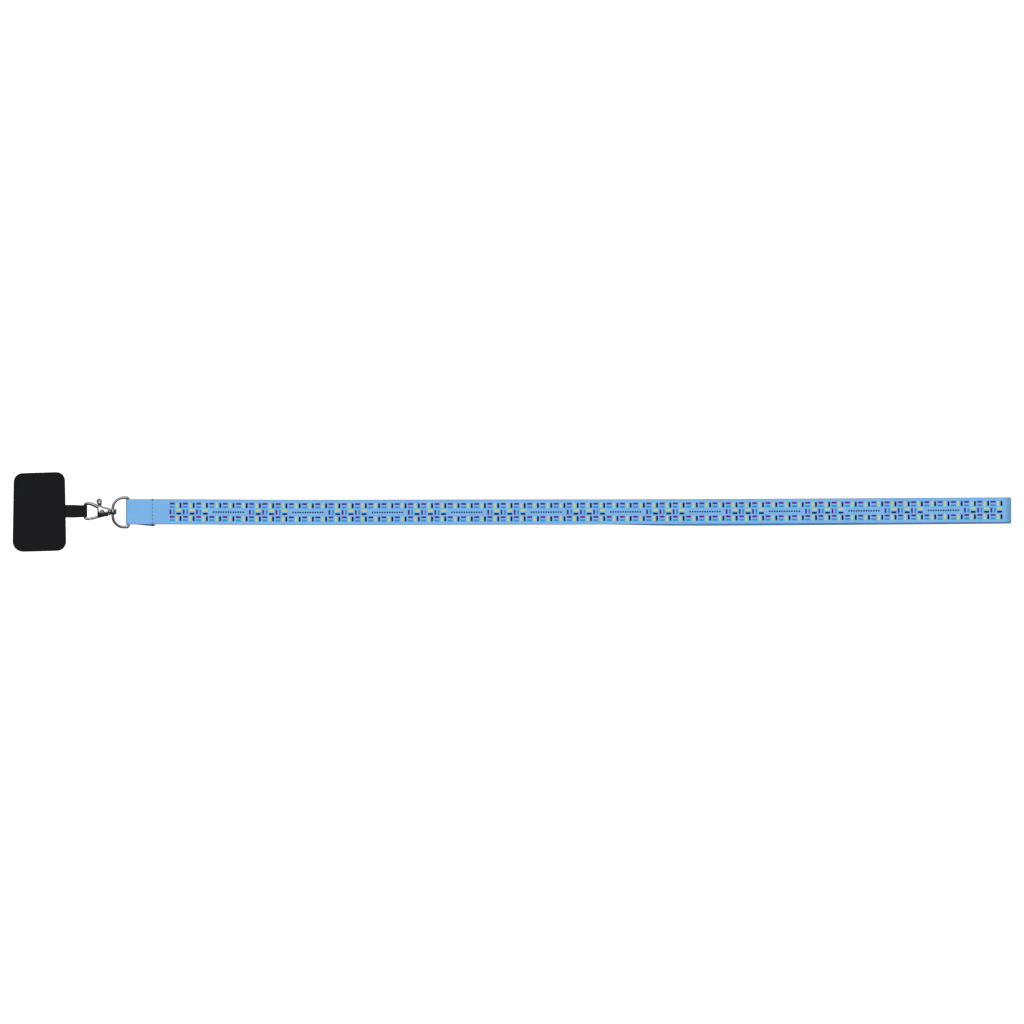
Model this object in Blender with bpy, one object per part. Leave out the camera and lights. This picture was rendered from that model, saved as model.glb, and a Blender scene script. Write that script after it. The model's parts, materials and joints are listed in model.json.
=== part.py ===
"""Phone lanyard lying flat on a table, in metres, +Z up.

A ribbon folded in two runs along +X. It is sewn round the bar of a D-ring. A swivel snap hook hangs on the
ring, and the short webbing tether of a phone patch is looped through the hook's claw. The origin is the
middle of the whole object, on the table.
"""

import math

import bmesh
import bpy
from mathutils import Matrix, Vector

MM = 0.001
GAP = 0.3 * MM  # between pieces that touch
OVERRUN = 1.0 * MM  # how far a cutter runs past the face that it cuts
BITE = 0.1 * MM  # how far two shapes run into each other where they are united
SHARP_EDGE = math.radians(35)

# Ribbon: one strip, folded in two at its far end and sewn round the D-ring at its near end
RIBBON_WIDTH = 19.6 * MM
RIBBON_THICKNESS = 0.7 * MM
RIBBON_END_X = 384.0 * MM  # outside of the far fold
RIBBON_Y = -0.3 * MM
LAYER_PITCH = RIBBON_THICKNESS + GAP
FIRST_LAYER_Z = RIBBON_THICKNESS / 2
SECOND_LAYER_Z = FIRST_LAYER_Z + LAYER_PITCH
THIRD_LAYER_Z = SECOND_LAYER_Z + LAYER_PITCH
SEAM_X = -276.5 * MM
FOLD_BACK_END_X = -274.5 * MM
LOWER_LEG_END_X = -290.0 * MM
SETTLE_LENGTH = 8.0 * MM  # over which a leg comes down off the fold-back
RIBBON_STEP_X = FOLD_BACK_END_X + 0.5 * MM
RIBBON_SPLIT_X = RIBBON_STEP_X + SETTLE_LENGTH  # between the legs' node and the ring fold's node

# D-ring: bent wire, its straight bar inside the ribbon's near fold
WIRE_RADIUS = 1.1 * MM
RING_BAR_X = -294.9 * MM
RING_APEX_X = -307.0 * MM
RING_HALF_HEIGHT = 11.35 * MM
RING_FRONT_RADIUS = 8.5 * MM
RING_BAR_CORNER_RADIUS = 1.6 * MM
RING_BAR_Z = WIRE_RADIUS + GAP + RIBBON_THICKNESS

# Seam across the ribbon
SEAM_THREAD_RADIUS = 0.2 * MM
SEAM_LIFT = 0.1 * MM  # of the thread over the ribbon's top
SEAM_MARGIN = 0.4 * MM  # from the thread's ends to the ribbon's edges

# Swivel snap hook, lying on its side
HOOK_Y = 0.2 * MM
EYE_RADIUS = 2.9 * MM
EYE_HOLE_RADIUS = 1.5 * MM
EYE_WIDTH = 3.6 * MM
HOOK_Z = EYE_RADIUS
POST_RADIUS = 0.9 * MM
POST_HEAD_RADIUS = 1.6 * MM
POST_HEAD_LENGTH = 0.6 * MM
NECK_END_X = RING_APEX_X - EYE_RADIUS - GAP
NECK_WALL = 2.1 * MM
CHEEK_HALF_THICKNESS = 2.6 * MM
SLOT_HALF_THICKNESS = 1.4 * MM
PIVOT = Vector((-315.2 * MM, 0.45 * MM))
PIN_RADIUS = 0.75 * MM
PIN_CLEARANCE = 0.2 * MM
SIDE_CLEARANCE = 0.02 * MM  # of the gate bar inside its own hub, so that their faces don't coincide
GATE_HALF_THICKNESS = SLOT_HALF_THICKNESS - GAP
HUB_RADIUS = 1.7 * MM
CLAW_BAR_X = -328.55 * MM
CLAW_BAR_RADIUS = 0.95 * MM
GATE_LAP = 0.6  # slope of the lapped faces between the claw's nose and the gate's tip
SPRING_WIRE_RADIUS = 0.18 * MM
SPRING_RADIUS = 1.45 * MM
SPRING_TURNS = 1.5
SPRING_PITCH = 0.4 * MM
SPRING_START = 0.45 * MM  # height of the first turn over the middle of the hook
SPRING_LOWER_LEG = 2.4 * MM
SPRING_UPPER_LEG = 1.1 * MM
RECESS_FLOOR = 0.1 * MM  # of the hub's step under the spring, over the middle of the hook
RECESS_RADIUS = 2.3 * MM

# Phone patch and its webbing tether
PAD_SHEET = 0.9 * MM
PAD_THICKNESS = 2 * PAD_SHEET + GAP
PAD_EDGE_X = -343.2 * MM  # the pad's edge where the tether leaves it
TETHER_Y = 0.6 * MM
TETHER_WIDTH = 9.0 * MM
TETHER_THICKNESS = 0.8 * MM
TETHER_LEG_OFFSET = TETHER_THICKNESS / 2 + GAP / 2
FLEX_X = PAD_EDGE_X + 1.3 * MM  # where the tether bends next to the pad
FLEX_Z = PAD_THICKNESS / 2
TAIL_LENGTH = 10.0 * MM
TAIL_THICKNESS = 0.9 * MM

# The pad's four corners, each with its rounding radius, anticlockwise from the near right one
PAD_CORNERS = (
    (-342.75 * MM, -29.7 * MM, 6.9 * MM),
    (-343.85 * MM, 30.9 * MM, 6.3 * MM),
    (-383.15 * MM, 29.7 * MM, 6.8 * MM),
    (-384.15 * MM, -30.8 * MM, 7.9 * MM),
)

STEEL = ("nickel_plate", (0.72, 0.72, 0.74), 0.15, 1.0)
RIBBON_CLOTH = ("ribbon_polyester", (0.20, 0.44, 0.82), 0.7, 0.0)
THREAD = ("sewing_thread", (0.10, 0.24, 0.48), 0.7, 0.0)
BLACK_WEBBING = ("tether_webbing", (0.012, 0.012, 0.013), 0.8, 0.0)
BLACK_SHEET = ("pad_sheet", (0.015, 0.015, 0.016), 0.75, 0.0)


# Building blocks


def clear_scene():
    for obj in list(bpy.data.objects):
        bpy.data.objects.remove(obj, do_unlink=True)


def material(name, colour, roughness, metallic):
    found = bpy.data.materials.get(name)
    if found:
        return found
    mat = bpy.data.materials.new(name)
    mat.use_nodes = True
    shader = mat.node_tree.nodes["Principled BSDF"]
    shader.inputs["Base Color"].default_value = (*colour, 1.0)
    shader.inputs["Roughness"].default_value = roughness
    shader.inputs["Metallic"].default_value = metallic
    return mat


def add_object(name, mesh, finish, location=(0, 0, 0)):
    """Links an object whose mesh is in world coordinates, and moves its origin to location."""
    mesh.transform(Matrix.Translation(-Vector(location)))
    obj = bpy.data.objects.new(name, mesh)
    obj.location = location
    bpy.context.scene.collection.objects.link(obj)
    obj.data.materials.append(material(*finish))
    mesh.shade_smooth()
    mesh.set_sharp_from_angle(angle=SHARP_EDGE)
    return obj


def mesh_from_rings(name, rings, closed=False):
    """Joins rings of points with quads, into a loop if closed, or else with a face over each end."""
    bm = bmesh.new()
    rows = [[bm.verts.new(point) for point in ring] for ring in rings]
    sides = len(rows[0])
    pairs = list(zip(rows, rows[1:]))
    if closed:
        pairs.append((rows[-1], rows[0]))
    for row, following in pairs:
        for i in range(sides):
            j = (i + 1) % sides
            bm.faces.new((row[i], row[j], following[j], following[i]))
    if not closed:
        bm.faces.new(rows[0])
        bm.faces.new(rows[-1])
    bmesh.ops.recalc_face_normals(bm, faces=bm.faces)
    mesh = bpy.data.meshes.new(name)
    bm.to_mesh(mesh)
    bm.free()
    return mesh


def superellipse(half_u, half_v, power, count):
    """Points round a rounded rectangle: power 2 is an ellipse, higher is squarer."""
    points = []
    for i in range(count):
        angle = 2 * math.pi * (i + 0.5) / count
        c, s = math.cos(angle), math.sin(angle)
        u = math.copysign(abs(c) ** (2 / power), c) * half_u
        v = math.copysign(abs(s) ** (2 / power), s) * half_v
        points.append((u, v))
    return points


def rounded_path(corners, closed=False, steps=6):
    """The 2D path through corners of (x, y, radius), with each corner turned by an arc of that radius."""
    count = len(corners)
    path = []
    for i, (x, y, radius) in enumerate(corners):
        here = Vector((x, y))
        if not closed and i in (0, count - 1):
            path.append(here)
            continue
        before = (Vector(corners[i - 1][:2]) - here).normalized()
        after = (Vector(corners[(i + 1) % count][:2]) - here).normalized()
        half_angle = before.angle(after) / 2
        reach = radius / math.tan(half_angle)
        centre = here + (before + after).normalized() * radius / math.sin(half_angle)
        start = here + before * reach - centre
        turn = math.pi - 2 * half_angle
        if before.x * after.y - before.y * after.x > 0:
            turn = -turn
        for k in range(steps + 1):
            angle = turn * k / steps
            c, s = math.cos(angle), math.sin(angle)
            path.append(centre + Vector((start.x * c - start.y * s, start.x * s + start.y * c)))
    return path


def path_normals(path, closed):
    """The left-hand normal at each point of a 2D path."""
    normals = []
    for i, point in enumerate(path):
        before = path[i - 1] if closed or i > 0 else point
        after = path[(i + 1) % len(path)] if closed or i < len(path) - 1 else point
        along = (after - before).normalized()
        normals.append(Vector((-along.y, along.x)))
    return normals


def sweep(name, path, sections, z=0.0, closed=False, power=2.6, count=12, end_lean=0.0):
    """A bar along a 2D path at height z. sections gives (half width, half height) at each point.

    end_lean slants the last end, by this much along the path for each unit across it.
    """
    rings = []
    normals = path_normals(path, closed)
    for i, (point, normal) in enumerate(zip(path, normals)):
        half_width, half_height = sections(i / (len(path) - 1))
        lean = end_lean if i == len(path) - 1 else 0.0
        along = Vector((normal.y, -normal.x))
        ring = []
        for u, v in superellipse(half_width, half_height, power, count):
            flat = point + normal * u + along * (lean * u)
            ring.append((flat.x, flat.y, z + v))
        rings.append(ring)
    return mesh_from_rings(name, rings, closed)


def ramp(*stops):
    """A function of 0..1 that runs straight between stops of (place, width, height)."""

    def at(place):
        for (p0, *a), (p1, *b) in zip(stops, stops[1:]):
            if place <= p1:
                share = (place - p0) / (p1 - p0)
                return [low + (high - low) * share for low, high in zip(a, b)]
        return list(stops[-1][1:])

    return at


def cylinder(name, start, end, radius, count=24):
    """A solid cylinder from start to end."""
    start, end = Vector(start), Vector(end)
    turn = (end - start).to_track_quat("Z", "Y")
    rings = []
    for centre in (start, end):
        ring = []
        for i in range(count):
            angle = 2 * math.pi * i / count
            arm = Vector((math.cos(angle) * radius, math.sin(angle) * radius, 0))
            ring.append(centre + turn @ arm)
        rings.append(ring)
    return mesh_from_rings(name, rings)


def extrusion(name, outline, low, high):
    """A 2D outline as a solid from z low to z high."""
    rings = [[(p[0], p[1], z) for p in outline] for z in (low, high)]
    return mesh_from_rings(name, rings)


def cutter(name, mesh):
    obj = bpy.data.objects.new(name, mesh)
    obj.hide_render = True
    obj.display_type = "WIRE"
    bpy.context.scene.collection.objects.link(obj)
    return obj


def boolean(obj, mesh, operation):
    tool = cutter(f"{obj.name}_tool_{len(obj.modifiers)}", mesh)
    mod = obj.modifiers.new(mesh.name, "BOOLEAN")
    mod.operation = operation
    mod.solver = "EXACT"
    mod.object = tool


def strip(name, path, width, thickness, centre_y, closed=False):
    """A flat band that follows a path of (x, z), with its middle line at y = centre_y."""
    rings = []
    for point, normal in zip(path, path_normals(path, closed)):
        up = point + normal * thickness / 2
        down = point - normal * thickness / 2
        low, high = centre_y - width / 2, centre_y + width / 2
        upper = ((up.x, low, up.y), (up.x, high, up.y))
        rings.append((*upper, (down.x, high, down.y), (down.x, low, down.y)))
    return mesh_from_rings(name, rings, closed)


def arc(centre, radius, start_degrees, end_degrees, steps):
    start, end = math.radians(start_degrees), math.radians(end_degrees)
    angles = [start + (end - start) * k / steps for k in range(steps + 1)]
    return [centre + Vector((math.cos(a), math.sin(a))) * radius for a in angles]


def step_between(x0, z0, x1, z1, steps=6):
    """Points that rise or fall smoothly from one level run to the next."""
    points = []
    for k in range(steps + 1):
        share = k / steps
        eased = share * share * (3 - 2 * share)
        points.append(Vector((x0 + (x1 - x0) * share, z0 + (z1 - z0) * eased)))
    return points


def even_run(x0, x1, z, steps):
    return [Vector((x0 + (x1 - x0) * k / steps, z)) for k in range(1, steps)]


# The pieces


def ribbon():
    """The two legs of the strip: from the lower leg's sewn-in end, round the far fold, back along the top."""
    fold_radius = LAYER_PITCH / 2
    fold_x = RIBBON_END_X - fold_radius - RIBBON_THICKNESS / 2
    path = [Vector((LOWER_LEG_END_X, SECOND_LAYER_Z))]
    path += step_between(RIBBON_STEP_X, SECOND_LAYER_Z, RIBBON_SPLIT_X, FIRST_LAYER_Z)
    path += even_run(RIBBON_SPLIT_X, fold_x, FIRST_LAYER_Z, 12)
    path += arc(Vector((fold_x, SECOND_LAYER_Z - fold_radius)), fold_radius, -90, 90, 8)
    path += even_run(fold_x, RIBBON_SPLIT_X, SECOND_LAYER_Z, 12)
    path.append(Vector((RIBBON_SPLIT_X + GAP, SECOND_LAYER_Z)))
    mesh = strip("ribbon", path, RIBBON_WIDTH, RIBBON_THICKNESS, RIBBON_Y)
    add_object("ribbon", mesh, RIBBON_CLOTH)


def ribbon_ring_fold():
    """The same strip's other end: up over the sewn layers, round the ring's bar, and back under itself."""
    bar_fold_radius = RING_BAR_Z - FIRST_LAYER_Z
    bar = Vector((RING_BAR_X, RING_BAR_Z))
    flat_x = LOWER_LEG_END_X - GAP
    path = step_between(RIBBON_SPLIT_X, SECOND_LAYER_Z, RIBBON_STEP_X, THIRD_LAYER_Z)
    path += step_between(flat_x, THIRD_LAYER_Z, RING_BAR_X, RING_BAR_Z + bar_fold_radius)
    path += arc(bar, bar_fold_radius, 90, 270, 12)[1:]
    path.append(Vector((FOLD_BACK_END_X, FIRST_LAYER_Z)))
    mesh = strip("ribbon_ring_fold", path, RIBBON_WIDTH, RIBBON_THICKNESS, RIBBON_Y)
    add_object("ribbon_ring_fold", mesh, RIBBON_CLOTH)


def ribbon_seam():
    """The thread of the row of stitches, lying across the top leg."""
    top = 3 * RIBBON_THICKNESS + 2 * GAP
    z = top + SEAM_THREAD_RADIUS + SEAM_LIFT
    half = RIBBON_WIDTH / 2 - SEAM_MARGIN
    start, end = (SEAM_X, RIBBON_Y - half, z), (SEAM_X, RIBBON_Y + half, z)
    thread = cylinder("ribbon_seam", start, end, SEAM_THREAD_RADIUS, count=8)
    add_object("ribbon_seam", thread, THREAD)


def d_ring():
    """Bent wire: a straight bar, two tight corners, and a wide front. Its origin is on the bar's axis."""
    rise = HOOK_Z - RING_BAR_Z
    depth = math.hypot(RING_BAR_X - RING_APEX_X, rise)
    corners = (
        (0, -RING_HALF_HEIGHT, RING_BAR_CORNER_RADIUS),
        (0, RING_HALF_HEIGHT, RING_BAR_CORNER_RADIUS),
        (-depth, RING_HALF_HEIGHT, RING_FRONT_RADIUS),
        (-depth, -RING_HALF_HEIGHT, RING_FRONT_RADIUS),
    )
    path = rounded_path(corners, closed=True, steps=8)
    mesh = sweep("d_ring", path, lambda place: (WIRE_RADIUS, WIRE_RADIUS), closed=True, power=2)
    obj = add_object("d_ring", mesh, STEEL)
    obj.location = (RING_BAR_X, RIBBON_Y, RING_BAR_Z)
    obj.rotation_euler = (0, math.asin(rise / depth), 0)


def swivel_eye():
    """A thick ring on the D-ring's wire, with a post that ends in a peened head inside the hook."""
    centre = Vector((RING_APEX_X, HOOK_Y, HOOK_Z))
    wall = (EYE_RADIUS - EYE_HOLE_RADIUS) / 2
    rings = []
    steps = 32
    for i in range(steps):
        angle = 2 * math.pi * i / steps
        out = Vector((math.cos(angle), 0, math.sin(angle)))
        section = superellipse(wall, EYE_WIDTH / 2, 3, 12)
        rings.append([centre + out * (EYE_HOLE_RADIUS + wall + u) + Vector((0, v, 0)) for u, v in section])
    obj = add_object("swivel_eye", mesh_from_rings("swivel_eye", rings, closed=True), STEEL, centre)
    head_x = NECK_END_X - NECK_WALL - GAP
    inside_ring = RING_APEX_X - EYE_RADIUS + wall
    start = (inside_ring, HOOK_Y, HOOK_Z)
    boolean(obj, cylinder("post", start, (head_x, HOOK_Y, HOOK_Z), POST_RADIUS), "UNION")
    start = (head_x + BITE, HOOK_Y, HOOK_Z)
    end = (head_x - POST_HEAD_LENGTH, HOOK_Y, HOOK_Z)
    boolean(obj, cylinder("post_head", start, end, POST_HEAD_RADIUS), "UNION")


def claw_path():
    """From inside the body, over the top of the opening, down the end bar and along the nose."""
    corners = (
        (-315.8 * MM, 2.6 * MM, 0),
        (-324.2 * MM, 6.75 * MM, 10 * MM),
        (CLAW_BAR_X, 6.3 * MM, 1.3 * MM),
        (CLAW_BAR_X, -5.3 * MM, 1.3 * MM),
        (-324.9 * MM, -5.3 * MM, 0),
    )
    return rounded_path(corners)


def hook_body():
    """Two cheeks joined at a round neck, and a claw that runs round to its nose."""
    # x, middle y, half height and squareness of each section, from the claw's side to the neck
    stations = (
        (-318.6 * MM, 0.40 * MM, 4.6 * MM, 3.2),
        (-318.1 * MM, 0.42 * MM, 5.0 * MM, 3.2),
        (-316.4 * MM, 0.45 * MM, 4.7 * MM, 3.2),
        (-314.0 * MM, 0.35 * MM, 3.75 * MM, 3.0),
        (-311.8 * MM, 0.25 * MM, 3.15 * MM, 2.5),
        (-310.5 * MM, HOOK_Y, 2.95 * MM, 2.2),
        (NECK_END_X, HOOK_Y, 2.5 * MM, 2.2),
    )
    rings = []
    for i, (x, y, half, power) in enumerate(stations):
        at_end = i in (0, len(stations) - 1)
        half_z = CHEEK_HALF_THICKNESS - (0.4 * MM if at_end else 0)
        rings.append([(x, y + u, HOOK_Z + v) for u, v in superellipse(half, half_z, power, 20)])
    obj = add_object("hook_body", mesh_from_rings("hook_body", rings), STEEL, (*PIVOT, HOOK_Z))

    bar = (CLAW_BAR_RADIUS, CLAW_BAR_RADIUS)
    widths = ramp(
        (0.0, 1.4 * MM, 2.3 * MM),
        (0.15, 1.35 * MM, 1.9 * MM),
        (0.45, 1.1 * MM, 1.3 * MM),
        (0.55, *bar),
        (0.9, *bar),
        (1.0, 1.05 * MM, 1.1 * MM),
    )
    claw = sweep("claw", claw_path(), widths, z=HOOK_Z, end_lean=-GATE_LAP)
    boolean(obj, claw, "UNION")

    slot_end = NECK_END_X - NECK_WALL
    low, high = HOOK_Z - SLOT_HALF_THICKNESS, HOOK_Z + SLOT_HALF_THICKNESS
    side = 8 * MM
    root_x, root_y, open_x = -317.9 * MM, 2.9 * MM, -320.0 * MM
    outline = (
        (open_x, -side),
        (slot_end, -side),
        (slot_end, side),
        (root_x, side),
        (root_x, root_y),
        (open_x, root_y),
    )
    boolean(obj, extrusion("slot", outline, low, high), "DIFFERENCE")

    seat_x = slot_end + SIDE_CLEARANCE
    head_room = ((slot_end - POST_HEAD_LENGTH - 2 * GAP, HOOK_Y, HOOK_Z), (seat_x, HOOK_Y, HOOK_Z))
    boolean(obj, cylinder("head_room", *head_room, POST_HEAD_RADIUS + GAP), "DIFFERENCE")
    post = ((slot_end - OVERRUN, HOOK_Y, HOOK_Z), (NECK_END_X + OVERRUN, HOOK_Y, HOOK_Z))
    boolean(obj, cylinder("post_hole", *post, POST_RADIUS + GAP), "DIFFERENCE")
    reach = 2 * CHEEK_HALF_THICKNESS
    pin = ((*PIVOT, HOOK_Z - reach), (*PIVOT, HOOK_Z + reach))
    boolean(obj, cylinder("pin_hole", *pin, PIN_RADIUS + PIN_CLEARANCE), "DIFFERENCE")


def gate_lever():
    """The gate bar and its thumb lever, one casting on a hub. Its origin is on the pin's axis."""
    bottom, top = HOOK_Z - GATE_HALF_THICKNESS, HOOK_Z + GATE_HALF_THICKNESS
    hub = cylinder("gate_lever", (*PIVOT, bottom), (*PIVOT, top), HUB_RADIUS)
    obj = add_object("gate_lever", hub, STEEL, (*PIVOT, HOOK_Z))

    corners = ((*PIVOT, 0), (-317.2 * MM, -3.45 * MM, 1.6 * MM), (-324.3 * MM, -5.25 * MM, 0))
    path = rounded_path(corners)
    half_sizes = (1.0 * MM, GATE_HALF_THICKNESS - SIDE_CLEARANCE)
    bar = sweep("gate_bar", path, lambda place: half_sizes, HOOK_Z, end_lean=-GATE_LAP)
    boolean(obj, bar, "UNION")

    # x, y, half width and half thickness along the thumb lever
    stations = (
        (-315.25 * MM, 0.60 * MM, 1.00 * MM, 1.05 * MM),
        (-316.40 * MM, 4.20 * MM, 0.85 * MM, 1.05 * MM),
        (-316.75 * MM, 5.60 * MM, 1.05 * MM, 1.15 * MM),
        (-317.10 * MM, 6.90 * MM, 1.70 * MM, 1.80 * MM),
        (-317.30 * MM, 8.60 * MM, 1.90 * MM, 2.00 * MM),
        (-317.40 * MM, 9.80 * MM, 1.40 * MM, 1.60 * MM),
        (-317.45 * MM, 10.35 * MM, 0.60 * MM, 0.70 * MM),
    )
    path = [Vector((x, y)) for x, y, *sizes in stations]
    last = len(stations) - 1
    lever = sweep("lever", path, lambda place: stations[round(place * last)][2:], HOOK_Z)
    boolean(obj, lever, "UNION")

    over = GATE_HALF_THICKNESS + OVERRUN
    recess = ((*PIVOT, HOOK_Z + RECESS_FLOOR), (*PIVOT, HOOK_Z + over))
    boolean(obj, cylinder("spring_recess", *recess, RECESS_RADIUS), "DIFFERENCE")
    bore = ((*PIVOT, HOOK_Z - over), (*PIVOT, HOOK_Z + over))
    boolean(obj, cylinder("pin_bore", *bore, PIN_RADIUS + PIN_CLEARANCE), "DIFFERENCE")


def gate_pin():
    ends = ((*PIVOT, HOOK_Z - CHEEK_HALF_THICKNESS), (*PIVOT, HOOK_Z + CHEEK_HALF_THICKNESS))
    add_object("gate_pin", cylinder("gate_pin", *ends, PIN_RADIUS), STEEL, (*PIVOT, HOOK_Z))


def gate_spring():
    """A torsion spring round the pin, in the hub's step, with a leg at each end towards the gate bar."""
    leg = Vector((0, -1, 0))
    steps = 30
    coil = []
    for i in range(steps + 1):
        angle = 2 * math.pi * SPRING_TURNS * i / steps
        arm = Vector((math.cos(angle), math.sin(angle), 0)) * SPRING_RADIUS
        height = HOOK_Z + SPRING_START + SPRING_PITCH * SPRING_TURNS * i / steps
        coil.append(Vector((*PIVOT, height)) + arm)
    route = [coil[0] + leg * SPRING_LOWER_LEG, *coil, coil[-1] + leg * SPRING_UPPER_LEG]
    rings = []
    for i, point in enumerate(route):
        along = (route[min(i + 1, len(route) - 1)] - route[max(i - 1, 0)]).normalized()
        side = along.cross(Vector((0, 0, 1))).normalized()
        up = side.cross(along)
        ring = superellipse(SPRING_WIRE_RADIUS, SPRING_WIRE_RADIUS, 2, 6)
        rings.append([point + side * u + up * v for u, v in ring])
    add_object("gate_spring", mesh_from_rings("gate_spring", rings), STEEL, (*PIVOT, HOOK_Z))


def tether_strap():
    """Webbing looped round the claw's end bar, with both legs running down to the pad's edge."""
    loop_radius = CLAW_BAR_RADIUS + GAP + TETHER_THICKNESS / 2
    bar = Vector((CLAW_BAR_X, HOOK_Z))
    flex = Vector((FLEX_X, FLEX_Z))
    leg_end_x = CLAW_BAR_X - 3.5 * MM
    share = (leg_end_x - FLEX_X) / (CLAW_BAR_X - FLEX_X)
    leg_z = FLEX_Z + (HOOK_Z - FLEX_Z) * share
    slope = math.degrees(math.atan2(HOOK_Z - FLEX_Z, CLAW_BAR_X - FLEX_X))
    across = Vector((-math.sin(math.radians(slope)), math.cos(math.radians(slope))))
    upper = Vector((leg_end_x, leg_z)) + across * TETHER_LEG_OFFSET
    lower = Vector((leg_end_x, leg_z)) - across * TETHER_LEG_OFFSET
    path = arc(flex, TETHER_LEG_OFFSET, 270 + slope, 90 + slope, 8)
    path += [upper]
    path += arc(bar, loop_radius, 115 + slope, -115 + slope, 16)
    path += [lower]
    mesh = strip("tether_strap", path, TETHER_WIDTH, TETHER_THICKNESS, TETHER_Y, closed=True)
    add_object("tether_strap", mesh, BLACK_WEBBING, (CLAW_BAR_X, TETHER_Y, HOOK_Z))


def tail_outline(margin):
    low, high = TETHER_Y - TETHER_WIDTH / 2 - margin, TETHER_Y + TETHER_WIDTH / 2 + margin
    left = PAD_EDGE_X - TAIL_LENGTH - margin
    right = PAD_EDGE_X - GAP + 5 * margin
    return ((left, low), (right, low), (right, high), (left, high))


def tether_tail():
    """The end of the webbing that is sewn in between the pad's two sheets."""
    low = FLEX_Z - TAIL_THICKNESS / 2
    mesh = extrusion("tether_tail", tail_outline(0), low, low + TAIL_THICKNESS)
    add_object("tether_tail", mesh, BLACK_WEBBING, (FLEX_X, TETHER_Y, FLEX_Z))


def pad_sheet(name, low):
    """One sheet of the pad, with a shallow pocket for the webbing's end."""
    outline = rounded_path(PAD_CORNERS, closed=True, steps=8)
    obj = add_object(name, extrusion(name, outline, low, low + PAD_SHEET), BLACK_SHEET, (FLEX_X, 0, FLEX_Z))
    reach = TAIL_THICKNESS / 2 + GAP
    pocket = extrusion("pocket", tail_outline(GAP), FLEX_Z - reach, FLEX_Z + reach)
    boolean(obj, pocket, "DIFFERENCE")


def main():
    clear_scene()
    ribbon()
    ribbon_ring_fold()
    ribbon_seam()
    d_ring()
    swivel_eye()
    hook_body()
    gate_lever()
    gate_pin()
    gate_spring()
    tether_strap()
    tether_tail()
    pad_sheet("pad_back", 0.0)
    pad_sheet("pad_front", PAD_SHEET + GAP)


main()
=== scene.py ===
"""Looks of a phone lanyard lying flat: printed ribbon, D-ring, swivel hook, phone patch.

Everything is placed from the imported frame, in metres. +X runs along the ribbon to its far fold, +Z is up.
"""

import json
import math

import bmesh
import bpy
from mathutils import Matrix, Vector


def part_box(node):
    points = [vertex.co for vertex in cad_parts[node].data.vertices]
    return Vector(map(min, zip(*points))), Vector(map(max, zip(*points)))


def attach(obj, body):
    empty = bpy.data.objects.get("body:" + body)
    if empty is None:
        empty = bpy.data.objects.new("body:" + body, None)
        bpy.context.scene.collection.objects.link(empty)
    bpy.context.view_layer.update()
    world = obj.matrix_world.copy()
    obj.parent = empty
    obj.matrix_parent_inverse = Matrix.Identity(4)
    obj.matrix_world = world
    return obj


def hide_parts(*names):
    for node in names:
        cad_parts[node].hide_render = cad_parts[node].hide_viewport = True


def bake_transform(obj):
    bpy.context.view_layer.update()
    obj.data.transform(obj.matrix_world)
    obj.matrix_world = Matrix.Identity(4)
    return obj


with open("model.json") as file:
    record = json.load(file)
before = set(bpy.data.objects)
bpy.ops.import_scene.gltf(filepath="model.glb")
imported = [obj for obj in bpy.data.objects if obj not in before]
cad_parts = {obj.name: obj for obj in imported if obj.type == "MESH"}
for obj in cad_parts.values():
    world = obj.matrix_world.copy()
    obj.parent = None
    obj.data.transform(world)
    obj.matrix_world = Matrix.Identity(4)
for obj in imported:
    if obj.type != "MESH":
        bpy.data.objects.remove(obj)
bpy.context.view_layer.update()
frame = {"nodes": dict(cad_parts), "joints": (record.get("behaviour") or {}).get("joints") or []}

MM = 0.001


def in_mm(*rows):
    """Rows of lengths that are given in millimetres."""
    return [tuple(value * MM for value in row) for row in rows]


JOINTS = {joint["name"]: Vector(joint["pos_m"]) for joint in frame["joints"]}
RING_BAR = JOINTS["ring_swing"]
RING_APEX = JOINTS["eye_swing"]
PIVOT = JOINTS["gate_open"]
CLAW_BAR = JOINTS["tether_swing"]
FLEX = JOINTS["patch_flex"]

# Ribbon
RIBBON_LOW, RIBBON_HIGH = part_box("ribbon")
WIDTH_EASE = 0.15 * MM  # by which the cloth is narrower than its CAD solid
RIBBON_WIDTH = RIBBON_HIGH.y - RIBBON_LOW.y - WIDTH_EASE
HALF_RIBBON = 0.35 * MM  # half its thickness
# middles of the sewn layers, from the bottom up
FIRST_Z = HALF_RIBBON
SECOND_Z = RIBBON_HIGH.z - HALF_RIBBON
THIRD_Z = 2 * SECOND_Z - FIRST_Z
SPLIT_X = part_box("ribbon_ring_fold")[1].x
SETTLE_LENGTH = 8 * MM  # over which a leg comes down off the sewn layers
STEP_X = SPLIT_X - SETTLE_LENGTH
FOLD_BACK_END_X = STEP_X - 0.5 * MM
LOWER_END_X = RIBBON_LOW.x
SEAM_X = (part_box("ribbon_seam")[0].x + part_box("ribbon_seam")[1].x) / 2
SEAM_DEPTH = 0.07 * MM
FAR_FOLD_X = RIBBON_HIGH.x
FOLD_REACH = 1.7 * MM  # of the far fold's round end
FOLD_BACK_SHIFT = 1.2 * MM  # how far the folded-back end strays to the -Y side
UNDER_SEAM_SHIFT = 1.1 * MM  # the same, where the seam crosses it
LONG_WAVE, SHORT_WAVE = 173 * MM, 79 * MM  # of the air between the two legs

# The strip isn't laid quite straight: (x, sideways place) of the upper leg's middle line
UPPER_LEG_PLACES = in_mm(
    (-297, 0.15), (-255, 0.10), (-165, -0.35), (-60, -0.25), (110, 0.15), (230, 0.70), (384, 1.60)
)
# How far the lower leg lies to the -Y side of the upper leg
LOWER_LEG_SHIFTS = in_mm((-297, 0), (70, 0), (125, 1.05), (230, 1.15), (330, 1.0), (384, 0.8))

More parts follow.
